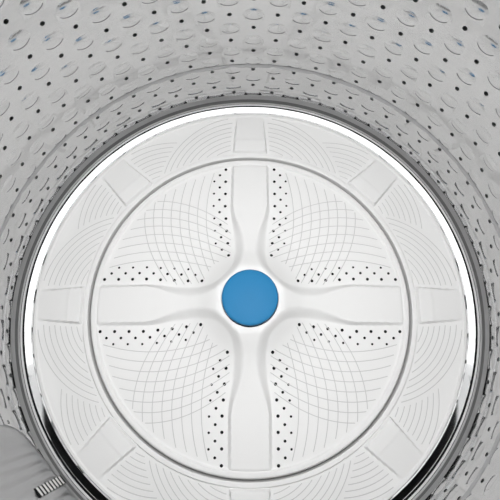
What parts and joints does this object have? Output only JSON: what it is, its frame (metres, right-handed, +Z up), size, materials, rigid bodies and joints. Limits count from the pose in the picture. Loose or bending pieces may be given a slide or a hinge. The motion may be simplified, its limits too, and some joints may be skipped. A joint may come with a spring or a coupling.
{
  "type": "top load washing machine",
  "caption": "Top load washing machine with an open glass lid, a perforated steel basket and a four-vane wash plate with a blue cap.",
  "frame": {"origin": "on the floor under the centre of the cabinet, on the axis of the wash basket", "axes": "+Z up, -Y the front, +X to the right seen from the front"},
  "size_m": [0.686, 0.686, 1.4109],
  "materials": {
    "white_enamel": "gloss white enamel",
    "galvanised": "galvanised sheet, matt",
    "zinc_steel": "zinc plated",
    "white_plastic": "moulded, satin gloss",
    "panel_black": "smooth gloss",
    "display_glass": "smoked, clear coat",
    "button_grey": "satin",
    "knob_silver": "metallised satin",
    "lid_glass": "tempered, polished",
    "rubber": "matt",
    "basket_steel": "satin stainless, perforated and dimpled",
    "mirror_steel": "mirror polished stainless",
    "pale_plastic": "pale grey, finely moulded",
    "blue_plastic": "satin blue",
    "ring_plastic": "light grey, smooth",
    "tub_plastic": "glass-filled polypropylene",
    "cast_alloy": "die cast",
    "bearing_steel": "ground",
    "motor_grey": "satin paint",
    "dark_plastic": "moulded"
  },
  "bodies": {
    "cabinet": {"cabinet_wrap": "white_enamel", "rear_panel": "galvanised", "base_frame": "galvanised", "levelling_feet": "zinc_steel", "foot_soles": "rubber", "foot_lock_nuts": "zinc_steel", "corner_braces": "galvanised", "suspension_rods": "zinc_steel", "suspension_springs": "zinc_steel", "top_deck": "white_enamel", "bleach_funnel": "white_plastic", "lid_hinge_brackets": "zinc_steel", "lid_lock_housing": "dark_plastic", "console_housing": "white_plastic", "console_end_caps": "white_plastic", "console_fascia": "panel_black", "display_window": "display_glass", "inlet_valve": "dark_plastic", "drain_port": "dark_plastic", "cord_gland": "rubber"},
    "lid": {"lid_frame": "white_plastic", "lid_glass": "lid_glass", "lid_handle": "button_grey", "lid_strike": "zinc_steel", "lid_bumpers": "rubber", "lid_hinge_pins": "zinc_steel"},
    "lock_bolt": {"lid_lock_bolt": "zinc_steel"},
    "bleach_flap": {"bleach_flap": "white_plastic"},
    "button_power": {"button_power": "button_grey"},
    "button_start": {"button_start": "button_grey"},
    "button_temperature": {"button_temperature": "button_grey"},
    "button_spin": {"button_spin": "button_grey"},
    "button_soil": {"button_soil": "button_grey"},
    "cycle_knob": {"cycle_knob": "knob_silver"},
    "tub": {"outer_tub": "tub_plastic", "tub_ring": "tub_plastic", "bearing_housing": "cast_alloy", "tube_bearings": "bearing_steel", "tub_seal": "rubber", "motor": "motor_grey", "motor_bracket": "galvanised", "drive_belt": "rubber", "drain_pump": "dark_plastic", "pump_bracket": "galvanised", "sump_hose": "rubber"},
    "basket": {"basket_wall": "basket_steel", "basket_base": "basket_steel", "basket_hub": "cast_alloy", "hub_nut": "bearing_steel", "balance_ring": "ring_plastic", "floor_trim_ring": "mirror_steel", "wash_ring": "pale_plastic", "spin_tube": "bearing_steel"},
    "impeller": {"impeller": "pale_plastic", "impeller_cap": "blue_plastic", "impeller_screw": "zinc_steel", "agitate_shaft": "bearing_steel", "drive_pulley": "cast_alloy"},
    "motor_rotor": {"motor_pulley": "bearing_steel"},
    "pump_rotor": {"pump_rotor": "pale_plastic"}
  },
  "joints": [
    {"name": "lid_hinge", "type": "hinge", "parent": "cabinet", "child": "lid", "pos_m": [0, 0.176, 0.957], "axis": [1, 0, 0], "range_deg": [0, 100]},
    {"name": "lock_bolt_slide", "type": "slide", "parent": "cabinet", "child": "lock_bolt", "axis": [-1, 0, 0], "range_m": [0, 0.008], "stiffness_N_per_m": 60, "springref_m": -0.003},
    {"name": "bleach_flap_hinge", "type": "hinge", "parent": "cabinet", "child": "bleach_flap", "pos_m": [-0.28, -0.1765, 0.9555], "axis": [-1, 0, 0], "range_deg": [0, 85]},
    {"name": "cycle_knob_turn", "type": "hinge", "parent": "cabinet", "child": "cycle_knob", "pos_m": [-0.12, 0.24946, 1.03216], "axis": [0, -0.9781, 0.2079], "continuous": true},
    {"name": "button_soil_press", "type": "slide", "parent": "cabinet", "child": "button_soil", "axis": [0, 0.9781, -0.2079], "range_m": [0, 0.0025], "stiffness_N_per_m": 300, "springref_m": -0.0015},
    {"name": "button_spin_press", "type": "slide", "parent": "cabinet", "child": "button_spin", "axis": [0, 0.9781, -0.2079], "range_m": [0, 0.0025], "stiffness_N_per_m": 300, "springref_m": -0.0015},
    {"name": "button_temperature_press", "type": "slide", "parent": "cabinet", "child": "button_temperature", "axis": [0, 0.9781, -0.2079], "range_m": [0, 0.0025], "stiffness_N_per_m": 300, "springref_m": -0.0015},
    {"name": "button_start_press", "type": "slide", "parent": "cabinet", "child": "button_start", "axis": [0, 0.9781, -0.2079], "range_m": [0, 0.0025], "stiffness_N_per_m": 300, "springref_m": -0.0015},
    {"name": "button_power_press", "type": "slide", "parent": "cabinet", "child": "button_power", "axis": [0, 0.9781, -0.2079], "range_m": [0, 0.0025], "stiffness_N_per_m": 300, "springref_m": -0.0015},
    {"name": "tub_bounce", "type": "slide", "parent": "cabinet", "child": "tub", "axis": [0, 0, 1], "range_m": [-0.025, 0.015], "stiffness_N_per_m": 15000, "springref_m": 0.0275, "deforming": ["suspension_springs"]},
    {"name": "impeller_spin", "type": "hinge", "parent": "tub", "child": "impeller", "pos_m": [0, 0, 0.345], "axis": [0, 0, 1], "continuous": true},
    {"name": "basket_spin", "type": "hinge", "parent": "tub", "child": "basket", "pos_m": [0, 0, 0.345], "axis": [0, 0, 1], "continuous": true},
    {"name": "motor_spin", "type": "hinge", "parent": "tub", "child": "motor_rotor", "pos_m": [0.19, 0, 0.137], "axis": [0, 0, 1], "continuous": true},
    {"name": "pump_spin", "type": "hinge", "parent": "tub", "child": "pump_rotor", "pos_m": [-0.15, -0.081, 0.198], "axis": [0, 1, 0], "continuous": true}
  ],
  "couplings": [
    {"joint": "motor_spin", "follows": "impeller_spin", "ratio": 4.1667}
  ]
}
